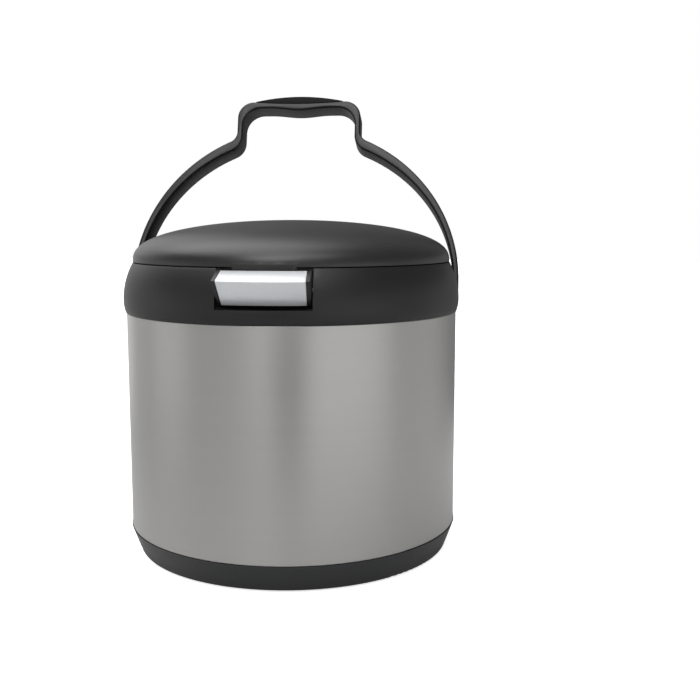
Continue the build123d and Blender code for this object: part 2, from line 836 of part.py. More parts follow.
def button_radius(height, inset=0.0):
    """The button's front radius at a height, drawn in by an inset."""
    low, high = (button_foot_out, button_foot), (button_crease_out, button_crease)
    if height > button_crease:
        low, high = high, (button_top_out, button_top)
    share = (height - low[1]) / (high[1] - low[1])
    return low[0] + share * (high[0] - low[0]) - inset


def make_lever_hollow():
    """The lever's two rear pockets, one at each side of its middle rib."""
    inset = button_thickness + lever_wall
    hollow = turned_points(
        (neck_radius, lever_hollow_bottom), (button_radius(lever_hollow_bottom, inset), lever_hollow_bottom),
        (button_crease_out - inset, button_crease),
        (button_radius(lever_hollow_top, inset), lever_hollow_top), (neck_radius, lever_hollow_top))
    outside = button_foot_half_width + lever_cheek - lever_wall
    pockets = []
    for side in (-1, 1):
        near, far = sorted((side * lever_rib, side * outside))
        room = block((near, far), (-shell_radius - overrun, 0), (lever_hollow_bottom, lever_hollow_top))
        pockets.append(hollow & room)
    return pockets


def make_latch_lever():
    half = button_foot_half_width + lever_cheek
    far_out = shell_radius + overrun
    back = [
        (lever_back, button_foot), (lever_back, lever_head_bottom - lever_wall),
        (lever_head_out, lever_head_bottom), (lever_head_out, button_top)]
    limit = [
        (-far_out, button_foot), (-lever_back_foot, button_foot), (-lever_back, lever_back_bend),
        (-lever_back, button_top), (-far_out, button_top)]
    lever = turned_points(*button_points(button_proud), *back) & prism_x(limit, -far_out, far_out)
    lever &= button_front(-lever_cheek)
    seat_inset = button_thickness + pin_gap
    seat = turned_points(*button_points(-overrun / 4), *reversed(button_points(seat_inset)))
    lever -= seat & button_front(-pin_gap)
    for pocket in make_lever_hollow():
        lever -= pocket
    for side in (-1, 1):
        near, far = sorted((side * (half - 2 * lever_wall), side * half))
        lever += rod_x(-latch_pin_out, latch_pin_height, latch_boss_radius, near, far)
    arm_out = hook_out + hook_thickness
    lever += block(
        (-hook_half_width, hook_half_width), (-lever_head_out - lever_wall, -hook_out),
        (latch_pin_height, button_top - hook_thickness))
    lever += block((-hook_half_width, hook_half_width), (-arm_out, -hook_out), (latch_pin_height, hook_top))
    lever += block(
        (-hook_half_width, hook_half_width), (-arm_out, -hook_out + hook_nose_reach),
        (hook_top - hook_nose_height, hook_top))
    return lever - rod_x(-latch_pin_out, latch_pin_height, latch_pin_radius + pin_gap, -far_out, far_out)


def make_latch_pin():
    half = pocket_half_width + pocket_wall - sheet - pin_gap
    return rod_x(-latch_pin_out, latch_pin_height, latch_pin_radius, -half, half)


def make_latch_spring():
    end = spring_start + spring_length
    spring = rod_x(-latch_pin_out, latch_pin_height, spring_outer_radius, spring_start, end)
    mid = (spring_inner_radius + spring_outer_radius) / 2
    back_leg = rod_z(
        spring_start + spring_leg_inset, -latch_pin_out + mid, spring_wire_radius,
        latch_pin_height - spring_leg, latch_pin_height)
    front_leg = rod_z(
        end - spring_leg_inset, -latch_pin_out - mid, spring_wire_radius,
        latch_pin_height, latch_pin_height + spring_leg)
    spring += [back_leg, front_leg]
    return spring - rod_x(-latch_pin_out, latch_pin_height, spring_inner_radius, spring_start, end)


# Handle
def handle_plane():
    """The handle's own plane, on its pivots and leaning back."""
    lean = radians(handle_lean)
    return Plane(origin=(0, pivot_y, pivot_height), x_dir=(1, 0, 0), z_dir=(0, -cos(lean), sin(lean)))


def bail_face(inset, crown_inset):
    """The arch of the bail with the narrower grip on top, drawn in by its wall's thickness."""
    arch = Ellipse(bail_half_width - inset, bail_rise - crown_inset)
    top = grip_height - inset
    grip = Pos(0, top / 2) * Rectangle(2 * (grip_half_width - inset), top)
    face = arch + grip
    corners = face.vertices().group_by(Axis.Y)[-1]
    face = fillet(corners, grip_corner - inset)
    side = grip_half_width - inset
    necks = [
        vertex for vertex in face.vertices()
        if abs(abs(vertex.X) - side) < fit_gap and vertex.Y < top - grip_corner - fit_gap]
    return fillet(necks, neck_bend + inset)


def lens(half_length, bulge, height):
    """A thin lens shape whose straight side lies at a height."""
    ends = ((-half_length, height), (half_length, height))
    arc = ThreePointArc(ends[0], (0, height + bulge), ends[1])
    return make_face([arc, Line(*ends)])


def make_handle_bail():
    band = bail_face(0, 0) - bail_face(strap_thickness, bail_crown_thickness)
    band += lens(finger_wave_half_length, -finger_wave_dip, grip_height - strap_thickness)
    band -= lens(pad_half_length, -pad_seat_dip, grip_height)
    strap = extrude(band, strap_width / 2, both=True)
    above = Pos(0, overrun * 2) * Box(4 * shell_radius, overrun * 4, strap_width)
    foot = Rot(Y=90) * Cylinder(strap_width / 2, 2 * shell_radius + overrun)
    strap = strap & (above + foot)
    long_edges = [
        edge for edge in strap.edges()
        if edge.bounding_box().size.Z < fit_gap and edge.center().Y > pivot_swing_reach / 4]
    strap = chamfer(long_edges, strap_round)
    for side in (-1, 1):
        outside = side * (bail_half_width + fit_gap)
        near, far = sorted((side * neck_radius, outside))
        strap -= Pos((near + far) / 2) * Rot(Y=90) * Cylinder(pivot_bush_radius, far - near)
        near, far = sorted((side * (bail_half_width - pivot_screw_head_height - face_gap), outside))
        strap -= Pos((near + far) / 2) * Rot(Y=90) * Cylinder(pivot_screw_head_radius + fit_gap, far - near)
    return handle_plane() * strap


def make_grip_pad():
    pad = lens(pad_half_length, pad_crown, grip_height) + lens(pad_half_length, -pad_seat_dip, grip_height)
    solid = extrude(pad, strap_width / 2 - pad_inset, both=True)
    crown = [
        edge for edge in solid.edges()
        if edge.bounding_box().size.Z < fit_gap and edge.center().Y > grip_height + fit_gap]
    return handle_plane() * chamfer(crown, strap_round)


def make_pivot_bushes():
    inner = bail_half_width - strap_thickness
    outer = bail_half_width - pivot_screw_head_height - face_gap
    bushes = []
    for side, y, z in pivot_places():
        near, far = sorted((side * inner, side * outer))
        bush = rod_x(y, z, pivot_bush_radius - pin_gap, near, far)
        bushes.append(bush - rod_x(y, z, pivot_screw_shoulder_radius + pin_gap, near, far))
    return Compound(children=bushes)


def make_pivot_screws():
    screws = []
    for side, y, z in pivot_places():
        head_in = bail_half_width - pivot_screw_head_height
        shoulder_in = bail_half_width - strap_thickness - face_gap - fit_gap
        near, far = sorted((side * head_in, side * bail_half_width))
        screw = rod_x(y, z, pivot_screw_head_radius, near, far)
        near, far = sorted((side * shoulder_in, side * head_in))
        screw += rod_x(y, z, pivot_screw_shoulder_radius, near, far)
        near, far = sorted((side * (pivot_screw_tip + fit_gap), side * shoulder_in))
        screw += rod_x(y, z, pivot_screw_thread_radius, near, far)
        slot = Box(pivot_screw_head_height, 2 * pivot_screw_thread_radius, sheet)
        screws.append(screw - Pos(side * bail_half_width, y, z) * slot)
    return Compound(children=screws)


def make_pivot_nuts():
    nuts = []
    half = pivot_nut_width / 2
    for side, y, z in pivot_places():
        near, far = sorted((side * pivot_nut_from, side * (pivot_nut_from + pivot_nut_thickness)))
        nut = block((near, far), (y - half, y + half), (z - half, z + half))
        nuts.append(nut - rod_x(y, z, pivot_screw_thread_radius + pin_gap / 2, near, far))
    return Compound(children=nuts)


# Inner pot
def pot_rivet_places():
    return [(side, offset) for side in (-1, 1) for offset in (-pot_ear_rivet_spread, pot_ear_rivet_spread)]


def make_inner_pot():
    points = [
        (0, pot_floor), (pot_radius, pot_floor), (pot_radius, pot_rim),
        (pot_rim_radius, pot_rim), (pot_rim_radius, pot_rim - pot_rim_drop)]
    pot = turned_sheet(points, [pot_corner, 0, pot_rim_round], pot_sheet, Side.LEFT)
    for side, y in pot_rivet_places():
        near, far = sorted((side * (pot_radius / 2), side * (pot_radius + overrun)))
        pot -= rod_x(y, bail_stub_height, pot_rivet_radius + pin_gap, near, far)
    return pot


def make_pot_base_disc():
    disc = rod_z(0, 0, pot_base_radius, liner_floor, pot_floor)
    return chamfer(disc.edges().filter_by(GeomType.CIRCLE), pot_base_edge)


def make_pot_ears():
    band = tube(pot_radius, pot_radius + pot_ear_thickness, pot_ear_bottom, pot_ear_top)
    ears = []
    for side in (-1, 1):
        near, far = sorted((0, side * (pot_radius + overrun)))
        ear = band & block(
            (near, far), (-pot_ear_half_width, pot_ear_half_width), (pot_ear_bottom, pot_ear_top))
        ear -= rod_x(0, bail_stub_height, bail_wire_radius + fit_gap, near, far)
        for ear_side, y in pot_rivet_places():
            if ear_side == side:
                ear -= rod_x(y, bail_stub_height, pot_rivet_radius + pin_gap, near, far)
        ears.append(ear)
    return Compound(children=ears)


def make_pot_rivets():
    rivets = []
    for side, y in pot_rivet_places():
        wall_out = sqrt((pot_radius + pot_ear_thickness) ** 2 - (abs(y) - pot_rivet_head_radius) ** 2)
        wall_in = sqrt((pot_radius - pot_sheet) ** 2 - (abs(y) + pot_rivet_head_radius) ** 2)
        near, far = sorted((side * (wall_in - pot_rivet_head_height), side * wall_in))
        rivet = rod_x(y, bail_stub_height, pot_rivet_head_radius, near, far)
        near, far = sorted((side * wall_in, side * wall_out))
        rivet += rod_x(y, bail_stub_height, pot_rivet_radius, near, far)
        near, far = sorted((side * wall_out, side * (wall_out + pot_rivet_head_height)))
        rivet += rod_x(y, bail_stub_height, pot_rivet_head_radius, near, far)
        rivets.append(rivet)
    return Compound(children=rivets)


def make_pot_bail():
    level = pot_top + bail_wire_radius + pot_lid_sheet * 3
    stub_end = pot_radius + face_gap
    side_paths = []
    for side in (-1, 1):
        corner = (side * bail_leg_x, 0, bail_stub_height)
        bend_low = (side * bail_leg_x, 0, level - bail_bend)
        bend_high = (side * bail_leg_x, -bail_bend, level)
        down = Line(corner, bend_low)
        bend = TangentArc(bend_low, bend_high, tangent=(0, 0, 1))
        side_paths.append((side, corner, [down, bend]))
    front = EllipticalCenterArc(
        (0, -bail_bend), bail_leg_x, bail_depth, start_angle=half_turn, arc_size=half_turn)
    front = Pos(0, 0, level) * front
    left, right = side_paths
    wire = Wire(left[2] + [front] + right[2])
    start = left[1]
    profile = Plane(origin=start, z_dir=(0, 0, 1)) * Circle(bail_wire_radius)
    bail = sweep(profile, path=wire)
    for side in (-1, 1):
        near, far = sorted((side * stub_end, side * bail_leg_x))
        bail += rod_x(0, bail_stub_height, bail_wire_radius, near, far)
        bail += Pos(side * bail_leg_x, 0, bail_stub_height) * Sphere(bail_wire_radius)
    return bail


def make_pot_lid():
    dome_top = pot_top + pot_lid_dome_height
    dome_foot = pot_top - pot_lid_skirt_depth / 2
    foot = pot_top - pot_lid_skirt_depth
    under_top = dome_top - pot_lid_sheet
    under_foot = dome_foot - pot_lid_sheet
    upper = TangentArc((0, dome_top), (pot_lid_dome_radius + pot_lid_sheet, dome_foot), tangent=(1, 0))
    under = TangentArc((0, under_top), (pot_lid_dome_radius, under_foot), tangent=(1, 0))
    flange = pot_rim_radius - pot_lid_sheet
    rim = Polyline(
        (pot_lid_dome_radius, under_foot), (pot_lid_dome_radius, foot),
        (pot_lid_skirt_radius, foot), (pot_lid_skirt_radius, pot_top), (flange, pot_top),
        (flange, pot_top + pot_lid_sheet), (pot_lid_skirt_radius - pot_lid_sheet, pot_top + pot_lid_sheet),
        (pot_lid_skirt_radius - pot_lid_sheet, foot + pot_lid_sheet),
        (pot_lid_dome_radius + pot_lid_sheet, foot + pot_lid_sheet),
        (pot_lid_dome_radius + pot_lid_sheet, dome_foot))
    lid = turned(upper, Line((0, dome_top), (0, under_top)), under, *rim.edges())
    return lid - rod_z(0, 0, knob_screw_radius + fit_gap, pot_top, dome_top + overrun)


def make_pot_lid_knob():
    low = pot_top + pot_lid_dome_height
    top = low + knob_height
    foot = FilletPolyline(
        (0, low), (knob_foot_radius, low), (knob_waist_radius, low + knob_height / 3),
        (knob_radius, low + knob_height * 2 / 3), (knob_radius * 5 / 6, top), (0, top),
        radius=[pot_rim_round, knob_height / 6, knob_height / 8, knob_height / 8])
    knob = turned(*foot.edges(), Line((0, top), (0, low)))
    return knob - rod_z(0, 0, knob_screw_radius, low - overrun, low + knob_height * 2 / 3)


def make_pot_lid_screw():
    low = pot_top + pot_lid_dome_height
    head_top = low - pot_lid_sheet - pin_gap
    screw = rod_z(0, 0, knob_screw_head_radius, head_top - knob_screw_head_height, head_top)
    return screw + rod_z(0, 0, knob_screw_radius - pin_gap, head_top, low + knob_height * 2 / 3 - face_gap)


pieces = {
    "base_pad": make_base_pad,
    "base_cover": make_base_cover,
    "base_screws": make_base_screws,
    "base_standoffs": make_base_standoffs,
    "outer_shell": make_outer_shell,
    "outer_bottom": make_outer_bottom,
    "vacuum_seal_cap": make_vacuum_seal_cap,
    "inner_liner": make_inner_liner,
    "getter": make_getter,
    "collar": make_collar,
    "mouth_ring": make_mouth_ring,
    "lid_cover": make_lid_cover,
    "lid_pan": make_lid_pan,
    "lid_screws": make_lid_screws,
    "lid_seal": make_lid_seal,
    "lid_insulation": make_lid_insulation,
    "lid_catch": make_lid_catch,
    "lid_catch_screws": make_catch_screws,
    "hinge_pin": make_hinge_pin,
    "latch_button": make_latch_button,
    "latch_lever": make_latch_lever,
    "latch_pin": make_latch_pin,
    "latch_spring": make_latch_spring,
    "handle_bail": make_handle_bail,
    "grip_pad": make_grip_pad,
    "pivot_bushes": make_pivot_bushes,
    "pivot_screws": make_pivot_screws,
    "pivot_nuts": make_pivot_nuts,
    "inner_pot": make_inner_pot,
    "pot_base_disc": make_pot_base_disc,
    "pot_ears": make_pot_ears,
    "pot_rivets": make_pot_rivets,
    "pot_bail": make_pot_bail,
    "pot_lid": make_pot_lid,
    "pot_lid_knob": make_pot_lid_knob,
    "pot_lid_screw": make_pot_lid_screw,
}

if __name__ == "__main__":
    for name, make in pieces.items():
        export_step(make(), f"parts/{name}.step")
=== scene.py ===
# Thermal cooker: finishes, detailed pieces and studio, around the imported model.
# Laid out as a Blender add-on. Run as a script, it makes everything in order.

import json
from math import atan2, cos, pi, radians, sin

import bpy
from bpy.props import FloatProperty, FloatVectorProperty, PointerProperty
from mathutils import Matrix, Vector


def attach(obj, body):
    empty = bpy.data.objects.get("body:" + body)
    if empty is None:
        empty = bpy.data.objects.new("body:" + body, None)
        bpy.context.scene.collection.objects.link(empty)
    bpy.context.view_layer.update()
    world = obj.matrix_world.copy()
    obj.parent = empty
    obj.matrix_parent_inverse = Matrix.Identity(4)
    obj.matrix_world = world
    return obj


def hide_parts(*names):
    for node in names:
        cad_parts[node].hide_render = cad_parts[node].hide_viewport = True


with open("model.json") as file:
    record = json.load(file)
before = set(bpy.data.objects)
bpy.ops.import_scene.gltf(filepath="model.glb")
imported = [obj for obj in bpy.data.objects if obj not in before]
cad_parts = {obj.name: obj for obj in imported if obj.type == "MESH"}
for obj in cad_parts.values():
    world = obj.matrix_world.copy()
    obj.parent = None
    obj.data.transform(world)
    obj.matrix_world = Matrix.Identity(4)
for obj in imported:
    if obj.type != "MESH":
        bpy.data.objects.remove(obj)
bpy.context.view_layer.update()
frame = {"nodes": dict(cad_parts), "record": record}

bl_info = {
    "name": "Thermal Cooker",
    "version": (1, 0, 0),
    "blender": (4, 5, 0),
    "location": "View3D > Sidebar > Cooker",
    "description": "Finishes, detailed pieces and a studio for a thermal cooker",
    "category": "Object",
}

NODES = frame["nodes"]
SLOTS = {part["node"]: part["material_slot"] for part in frame["record"]["subparts"]}
MM = 0.001


def finish_name(slot):
    return f"{slot} finish"


# Shader maths
class Signal:
    """A number in a shader, which plain sums and products can be written with."""

    def __init__(self, finish, socket):
        self.finish = finish
        self.socket = socket

    def _join(self, operation, first, second):
        return self.finish.node("ShaderNodeMath", {"operation": operation}, {0: first, 1: second})

    def __add__(self, other):
        return self._join("ADD", self, other)

    def __radd__(self, other):
        return self._join("ADD", other, self)

    def __sub__(self, other):
        return self._join("SUBTRACT", self, other)

    def __rsub__(self, other):
        return self._join("SUBTRACT", other, self)

    def __mul__(self, other):
        return self._join("MULTIPLY", self, other)

    def step(self, low, high):
        """0 below low, 1 above high, smooth between."""
        return self.finish.node(
            "ShaderNodeMapRange", {"interpolation_type": "SMOOTHSTEP"},
            {"Value": self, "From Min": low, "From Max": high})


class Paint:
    """A node tree, put together node by node."""

    def __init__(self, tree):
        self.tree = tree
        self.tree.nodes.clear()
        self._place = None

    def node(self, kind, settings=None, sockets=None, output=0):
        """Adds a node of a type, with its settings first and then its sockets' values or links."""
        made = self.tree.nodes.new(kind)
        for key, value in (settings or {}).items():
            setattr(made, key, value)
        for key, value in (sockets or {}).items():
            if isinstance(value, Signal):
                self.tree.links.new(value.socket, made.inputs[key])
            else:
                made.inputs[key].default_value = value
        return Signal(self, made.outputs[output])

    def place(self):
        """The point on the object, in metres."""
        if self._place is None:
            self._place = self.node("ShaderNodeTexCoord", output="Object")
        return self._place

    def towards(self, point, aim):
        """How far a direction points along another: 1 along it, -1 away from it."""
        return self.node("ShaderNodeVectorMath", {"operation": "DOT_PRODUCT"}, {0: point, 1: aim}, "Value")

    def lights(self, base, direction, lamps):
        """A base level, plus each lamp's (azimuth, elevation, edge, strength) as seen along a direction."""
        level = base
        for azimuth, elevation, edge, strength in lamps:
            level = level + self.towards(direction, heading(azimuth, elevation)).step(edge, 1.0) * strength
        return level

    def noise(self, scale, detail=2.0, stretch=(1.0, 1.0, 1.0), roughness=0.5):
        """Soft noise, with scale in bumps per metre along each axis times its stretch."""
        spread = self.node("ShaderNodeMapping", None, {"Vector": self.place(), "Scale": stretch})
        return self.node(
            "ShaderNodeTexNoise", None,
            {"Vector": spread, "Scale": scale, "Detail": detail, "Roughness": roughness})

    def mix(self, factor, first, second):
        """A colour between two, by a factor."""
        made = self.tree.nodes.new("ShaderNodeMix")
        made.data_type = "RGBA"
        sockets = ((made.inputs[0], factor), (made.inputs[6], first), (made.inputs[7], second))
        for socket, value in sockets:
            if isinstance(value, Signal):
                self.tree.links.new(value.socket, socket)
            else:
                socket.default_value = value if not hasattr(value, "__len__") else (*tuple(value)[:3], 1.0)
        return Signal(self, made.outputs[2])


class Finish(Paint):
    """One procedural material."""

    def __init__(self, name):
        self.material = bpy.data.materials.new(finish_name(name))
        self.material.use_nodes = True
        super().__init__(self.material.node_tree)
        self.shader = self.tree.nodes.new("ShaderNodeBsdfPrincipled")
        out = self.tree.nodes.new("ShaderNodeOutputMaterial")
        self.tree.links.new(self.shader.outputs[0], out.inputs[0])

    def bump(self, height, strength, distance):
        """Relief from a height, on the shader's normal."""
        normal = self.node(
            "ShaderNodeBump", None, {"Height": height, "Strength": strength, "Distance": distance})
        self.tree.links.new(normal.socket, self.shader.inputs["Normal"])

    def set(self, name, value):
        """Sets or links one of the shader's own sockets."""
        socket = self.shader.inputs[name]
        if isinstance(value, Signal):
            self.tree.links.new(value.socket, socket)
        elif hasattr(value, "__len__") and len(value) == 3:
            socket.default_value = (*tuple(value), 1.0)
        else:
            socket.default_value = value


def shade(colour, share):
    """A colour made lighter or darker by a share."""
    return tuple(min(1.0, channel * share) for channel in tuple(colour)[:3])


# Finishes
def moulded_plastic(name, colour, rough, grain=2600.0, relief=0.05, tone=0.12, gloss=0.5):
    """Satin injection-moulded plastic: a fine spark grain, slow flow marks and a faint dusty bloom."""
    finish = Finish(name)
    flow = finish.noise(9.0, 3.0, (1.0, 1.0, 2.2))
    dust = finish.noise(420.0, 4.0)
    spark = finish.noise(grain, 2.0)
    tint = finish.mix(flow.step(0.3, 0.7), shade(colour, 1 - tone), shade(colour, 1 + tone))
    finish.set("Base Color", finish.mix(dust.step(0.62, 0.78) * 0.25, tint, shade(colour, 1.5)))
    finish.set("Roughness", rough + (flow - 0.5) * 0.06 + (spark - 0.5) * 0.1 + dust.step(0.6, 0.8) * 0.05)
    finish.set("Specular IOR Level", gloss)
    finish.bump(spark * 0.7 + dust * 0.3, relief, 0.0002)
    return finish.material


def brushed_metal(name, colour, rough, along=(6.0, 6.0, 2600.0), relief=0.03, tone=0.02):
    """Steel brushed around the vessel: hair lines, a slow tone and a few handling smears."""
    finish = Finish(name)
    hair = finish.noise(1.0, 3.0, along, 0.7)
    broad = finish.noise(1.0, 2.0, (along[0] / 2, along[1] / 2, along[2] / 9), 0.6)
    smear = finish.noise(14.0, 4.0, (1.0, 1.0, 0.6))
    lines = hair * 0.7 + broad * 0.3
    base = finish.mix(lines.step(0.25, 0.75), shade(colour, 1 - tone), shade(colour, 1 + tone))
    finish.set("Base Color", finish.mix(smear.step(0.55, 0.8) * 0.3, base, shade(colour, 0.96)))
    finish.set("Metallic", 1.0)
    finish.set("Anisotropic", 0.7)
    finish.set("Anisotropic Rotation", 0.25)
    finish.set("Roughness", rough + (lines - 0.5) * 0.08 + smear.step(0.5, 0.8) * 0.03)
    finish.bump(lines, relief, 0.0001)
    return finish.material


def satin_coat(name, colour, rough):
    """Silver coat on moulded plastic: fine flake sparkle under a thin clear layer."""
    finish = Finish(name)
    flake = finish.noise(5200.0, 1.0)
    cloud = finish.noise(30.0, 3.0)
    finish.set("Base Color", finish.mix(flake.step(0.4, 0.65), shade(colour, 0.9), shade(colour, 1.12)))
    finish.set("Metallic", 0.45)
    finish.set("Roughness", rough + (cloud - 0.5) * 0.08 + (flake - 0.5) * 0.06)
    finish.set("Coat Weight", 0.3)
    finish.set("Coat Roughness", 0.2)
    finish.bump(flake, 0.02, 0.0001)
    return finish.material


def soft_rubber(name, colour, rough):
    """Soft rubber: matt, with a fine skin and pale rubbed patches."""
    finish = Finish(name)
    skin = finish.noise(3200.0, 3.0)
    rub = finish.noise(26.0, 4.0)
    finish.set("Base Color", finish.mix(rub.step(0.5, 0.75) * 0.5, colour, shade(colour, 1.7)))
    finish.set("Roughness", rough + (rub - 0.5) * 0.14 + (skin - 0.5) * 0.08)
    finish.set("Specular IOR Level", 0.2)
    finish.bump(skin, 0.08, 0.0002)
    return finish.material


def plated_steel(name, colour, rough):
    """Bright plate on small screws and pins, a little dulled."""
    finish = Finish(name)
    dull = finish.noise(900.0, 4.0)
    finish.set("Base Color", finish.mix(dull.step(0.4, 0.7), colour, shade(colour, 0.8)))
    finish.set("Metallic", 1.0)
    finish.set("Roughness", rough + dull * 0.18)
    finish.bump(dull, 0.03, 0.0001)
    return finish.material


def rigid_foam(name, colour):
    """Rigid insulating foam: open cells, with a slight painted shade darkening each cell's hollow."""
    finish = Finish(name)
    cells = finish.node("ShaderNodeTexVoronoi", None, {"Vector": finish.place(), "Scale": 900.0})
    stain = finish.noise(40.0, 3.0)
    # Painted shade: the colour darkens towards each cell's hollow, where the bump is lowest.
    finish.set("Base Color", finish.mix(cells.step(0.1, 0.6), shade(colour, 0.8), colour))
    finish.set("Roughness", 0.85 + (stain - 0.5) * 0.1)
    finish.bump(cells, 0.5, 0.0006)
    return finish.material


def make_finishes(colours):
    """Every finish, under the record's slot name."""
    soft_rubber("base_rubber", (0.02, 0.02, 0.021), 0.75)
    moulded_plastic("base_plastic", colours.base, 0.42, 2200.0)
    plated_steel("screw_steel", (0.55, 0.55, 0.56), 0.22)
    brushed_metal("brushed_shell", colours.steel, 0.33)
    brushed_metal("satin_steel", (0.55, 0.55, 0.545), 0.36)
    plated_steel("getter_metal", (0.2, 0.2, 0.2), 0.6)
    moulded_plastic("charcoal_plastic", colours.collar, 0.42, gloss=0.38)
    moulded_plastic("lid_plastic", colours.lid, 0.36)
    moulded_plastic("black_plastic", (0.008, 0.008, 0.009), 0.45)
    soft_rubber("seal_silicone", (0.3, 0.3, 0.3), 0.55)
    rigid_foam("foam", (0.62, 0.55, 0.38))
    satin_coat("silver_plastic", colours.button, 0.36)
    plated_steel("spring_steel", (0.4, 0.4, 0.41), 0.3)
    moulded_plastic("handle_plastic", colours.handle, 0.36, relief=0.015, gloss=0.42)
    soft_rubber("grip_rubber", (0.001, 0.001, 0.0011), 0.62)
    brushed_metal("pot_steel", (0.6, 0.6, 0.59), 0.28, (6.0, 6.0, 1800.0))


# Settings
def colour_setting(name, description, default):
    return FloatVectorProperty(
        name=name, description=description, subtype="COLOR", size=3, min=0, max=1, default=default)


def length_setting(name, description, default):
    return FloatProperty(name=name, description=description, unit="LENGTH", default=default)


class CookerColours(bpy.types.PropertyGroup):
    """Colours that a user would change."""

    steel: colour_setting("Shell", "Brushed steel of the body", (0.46, 0.455, 0.445))
    collar: colour_setting("Collar", "Moulded collar", (0.011, 0.011, 0.0115))
    lid: colour_setting("Lid", "Moulded lid", (0.018, 0.018, 0.0185))
    base: colour_setting("Base", "Moulded base", (0.016, 0.0165, 0.018))
    handle: colour_setting("Handle", "Moulded handle", (0.004, 0.004, 0.0042))
    button: colour_setting("Button", "Silver latch button", (0.80, 0.815, 0.84))


class CookerSizes(bpy.types.PropertyGroup):
    """Sizes that a user would change."""

    floor_half: length_setting("Floor", "Half width of the floor", 6.0)
    rim_round: length_setting("Rims", "Rounding of the mouldings' edges", 0.0007)
    button_round: length_setting("Button", "Rounding of the button", 0.0005)
    strap_round: length_setting("Strap", "Rounding of the strap", 0.0014)
    pad_round: length_setting("Pad", "Rounding of the grip pad", 0.0012)
    tent_radius: length_setting("Tent", "Radius of the light tent", 0.6)
    tent_height: length_setting("Tent Height", "Height of the light tent", 0.32)


def settings():
    return bpy.context.scene.cooker_sizes, bpy.context.scene.cooker_colours


# Modelling by hand
def start_clean():
    """Leaves edit mode and lets go of everything."""
    if bpy.context.mode != "OBJECT":
        bpy.ops.object.mode_set(mode="OBJECT")
    bpy.ops.object.select_all(action="DESELECT")


def close_up(piece, body, *nodes):
    """Puts a piece on its body in place of CAD nodes, with the finish of the first."""
    piece.data.materials.clear()
    piece.data.materials.append(bpy.data.materials[finish_name(SLOTS[nodes[0]])])
    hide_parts(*nodes)
    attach(piece, body)
    return piece


def apply_modifier(piece, kind, **values):
    """Adds a modifier to the active object, sets it and applies it."""
    made = piece.modifiers.new(kind.title(), kind)
    for key, value in values.items():
        setattr(made, key, value)
    bpy.ops.object.modifier_apply(modifier=made.name)


def draw_chain(name, points):
    """A new mesh in edit mode: a chain of edges through points in metres, drawn point by point."""
    start_clean()
    bpy.ops.mesh.primitive_plane_add(size=MM, location=points[0])
    piece = bpy.context.object
    piece.name = name
    bpy.ops.object.transform_apply(location=True, rotation=True, scale=True)
    bpy.ops.object.mode_set(mode="EDIT")
    bpy.ops.mesh.select_all(action="SELECT")
    bpy.ops.mesh.merge(type="CENTER")
    for here, there in zip(points, points[1:]):
        step = Vector(there) - Vector(here)
        bpy.ops.mesh.extrude_region_move(TRANSFORM_OT_translate={"value": tuple(step)})
    return piece


def cut_plate(name, points, depth):
    """A flat plate: an outline filled and extruded by a depth."""
    piece = draw_chain(name, points)
    bpy.ops.mesh.select_all(action="SELECT")
    bpy.ops.mesh.edge_face_add()
    bpy.ops.mesh.extrude_region_move(TRANSFORM_OT_translate={"value": tuple(depth)})
    bpy.ops.mesh.select_all(action="SELECT")
    bpy.ops.mesh.normals_make_consistent(inside=False)
    bpy.ops.object.mode_set(mode="OBJECT")
    return piece


def round_rim(piece, width):
    """Rounds a plate's sharp rim and shades it smooth."""
    start_clean()
    bpy.context.view_layer.objects.active = piece
    piece.select_set(True)
    apply_modifier(
        piece, "BEVEL", width=width, segments=4, limit_method="ANGLE", angle_limit=radians(50),
        use_clamp_overlap=True)
    bpy.ops.object.shade_smooth_by_angle(angle=radians(35))


def drill(piece, near, far, radius, sides=64):
    """Cuts a hole into a piece, from one point to another."""
    start_clean()
    near, far = Vector(near), Vector(far)
    turn = (far - near).to_track_quat("Z", "Y").to_euler()
    bpy.ops.mesh.primitive_cylinder_add(
        vertices=sides, radius=radius, depth=(far - near).length, location=(near + far) / 2, rotation=turn)
    cutter = bpy.context.object
    bpy.context.view_layer.objects.active = piece
    apply_modifier(piece, "BOOLEAN", operation="DIFFERENCE", solver="EXACT", object=cutter)
    bpy.data.objects.remove(cutter)


def softened(node, name, body, width):
    """A copy of a CAD node whose sharp edges are rounded, as a mould leaves them."""
    start_clean()
    piece = bpy.data.objects.new(name, NODES[node].data.copy())
    bpy.context.collection.objects.link(piece)
    bpy.context.view_layer.objects.active = piece
    piece.select_set(True)
    if piece.data.has_custom_normals:
        bpy.ops.mesh.customdata_custom_splitnormals_clear()
    bpy.ops.object.mode_set(mode="EDIT")
    bpy.ops.mesh.select_all(action="SELECT")
    bpy.ops.mesh.remove_doubles(threshold=0.01 * MM)
    bpy.ops.mesh.dissolve_limited(angle_limit=radians(0.6))
    bpy.ops.object.mode_set(mode="OBJECT")
    apply_modifier(
        piece, "BEVEL", width=width, segments=3, limit_method="ANGLE", angle_limit=radians(28),
        use_clamp_overlap=True, miter_outer="MITER_ARC")
    bpy.ops.object.shade_smooth_by_angle(angle=radians(32))
    return close_up(piece, body, node)


def heading(azimuth, elevation):
    """A unit direction, from its angle round from the front towards +X and its angle up."""
    turn, rise = radians(azimuth), radians(elevation)
    return (sin(turn) * cos(rise), -cos(turn) * cos(rise), sin(rise))


